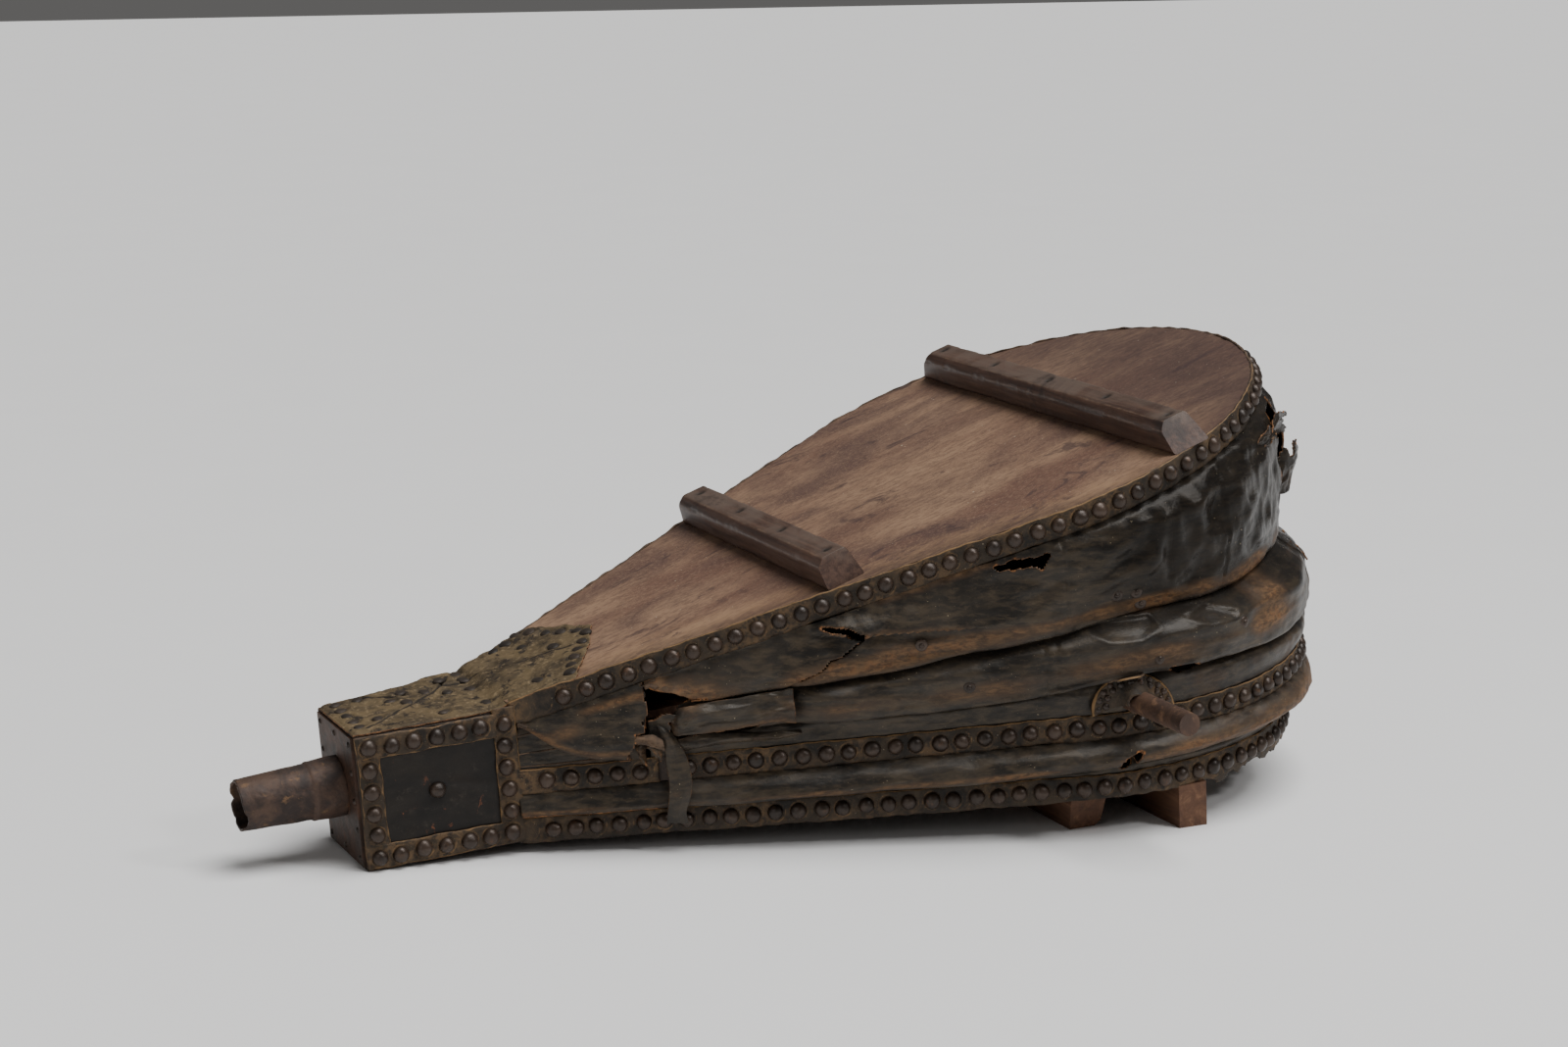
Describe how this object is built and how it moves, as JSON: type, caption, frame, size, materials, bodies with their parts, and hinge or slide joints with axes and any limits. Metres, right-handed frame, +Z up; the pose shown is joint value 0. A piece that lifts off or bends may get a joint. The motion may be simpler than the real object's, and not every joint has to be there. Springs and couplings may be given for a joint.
{
  "type": "forge bellows",
  "caption": "Pear-shaped double-chamber blacksmith's bellows: hinged wooden boards, nailed leather walls, head block with iron nozzle, and a trunnion bar.",
  "frame": {"origin": "on the floor, under the middle of the whole object's box", "axes": "+X from the nozzle towards the round end, +Y to the far side, +Z up; the middle board slopes 4.45 degrees nose down"},
  "size_m": [1.8114, 1.17, 0.7094],
  "materials": {
    "iron": "rusty brown wrought iron",
    "nail_iron": "dark rusted nail heads with a dull shine",
    "nozzle_iron": "rusted and scaled sheet iron",
    "chamber_leather": "black glossy leather, scuffed to brown on its ridges",
    "strap_leather": "dark worn leather with tan cut edges",
    "cover_leather": "dry olive-brown leather",
    "top_wood": "weathered reddish brown planks, waxed and stained",
    "batten_wood": "dark stained hardwood",
    "dark_wood": "dark aged wood",
    "raw_wood": "bare reddish brown wood"
  },
  "bodies": {
    "frame": {"head_block": "dark_wood", "nose_plate": "iron", "nose_plate_nails": "nail_iron", "nozzle": "nozzle_iron", "head_side_panels": "chamber_leather", "head_side_straps": "strap_leather", "head_side_studs": "nail_iron", "head_top_cover": "cover_leather", "head_top_studs": "nail_iron", "middle_board": "dark_wood", "middle_strap": "strap_leather", "middle_strap_studs": "nail_iron", "trunnion_bar": "iron", "trunnion_saddles": "iron", "trunnion_bolts": "iron", "trunnion_nuts": "iron", "trunnion_gussets": "strap_leather", "trunnion_gusset_tacks": "nail_iron", "transfer_valve_keeper": "raw_wood", "upper_leather": "chamber_leather", "lower_leather": "chamber_leather", "bottom_hinge_leather": "cover_leather"},
    "top_board": {"top_board": "top_wood", "top_batten_front": "batten_wood", "top_batten_rear": "batten_wood", "top_batten_nails": "nail_iron", "top_strap": "strap_leather", "top_strap_studs": "nail_iron", "top_hinge_leather": "cover_leather", "top_hinge_studs": "nail_iron"},
    "hoop_upper": {"hoop_upper": "raw_wood", "hoop_upper_nails": "nail_iron"},
    "hoop_lower": {"hoop_lower": "raw_wood", "hoop_lower_nails": "nail_iron"},
    "bottom_board": {"bottom_board": "dark_wood", "bottom_batten_front": "raw_wood", "bottom_batten_rear": "raw_wood", "bottom_batten_nails": "nail_iron", "bottom_strap": "strap_leather", "bottom_strap_studs": "nail_iron", "intake_valve_keeper": "raw_wood"},
    "transfer_valve": {"transfer_valve_flap": "raw_wood", "transfer_valve_leather": "strap_leather"},
    "intake_valve": {"intake_valve_flap": "raw_wood", "intake_valve_leather": "strap_leather"}
  },
  "joints": [
    {"name": "top_board_hinge", "type": "hinge", "parent": "frame", "child": "top_board", "pos_m": [-0.51298, 0, 0.23972], "axis": [0, -1, 0], "range_deg": [-14, 0], "deforming": ["upper_leather"]},
    {"name": "hoop_upper_hinge", "type": "hinge", "parent": "frame", "child": "hoop_upper", "pos_m": [-0.50355, 0, 0.16479], "axis": [0, -1, 0], "range_deg": [-5.2, 0]},
    {"name": "hoop_lower_hinge", "type": "hinge", "parent": "frame", "child": "hoop_lower", "pos_m": [-0.50544, 0, 0.14373], "axis": [0, -1, 0], "range_deg": [-0.5, 0]},
    {"name": "bottom_board_hinge", "type": "hinge", "parent": "frame", "child": "bottom_board", "pos_m": [-0.49564, 0, 0.01689], "axis": [0, -1, 0], "range_deg": [-15, 0], "deforming": ["lower_leather"]},
    {"name": "transfer_valve_hinge", "type": "hinge", "parent": "frame", "child": "transfer_valve", "pos_m": [-0.09283, 0, 0.16389], "axis": [0, -1, 0], "range_deg": [0, 22]},
    {"name": "intake_valve_hinge", "type": "hinge", "parent": "bottom_board", "child": "intake_valve", "pos_m": [0.12644, 0, 0.08839], "axis": [0, -1, 0], "range_deg": [0, 12]}
  ],
  "couplings": [
    {"joint": "hoop_upper_hinge", "follows": "top_board_hinge", "ratio": 0.36},
    {"joint": "hoop_lower_hinge", "follows": "top_board_hinge", "ratio": 0.03}
  ]
}
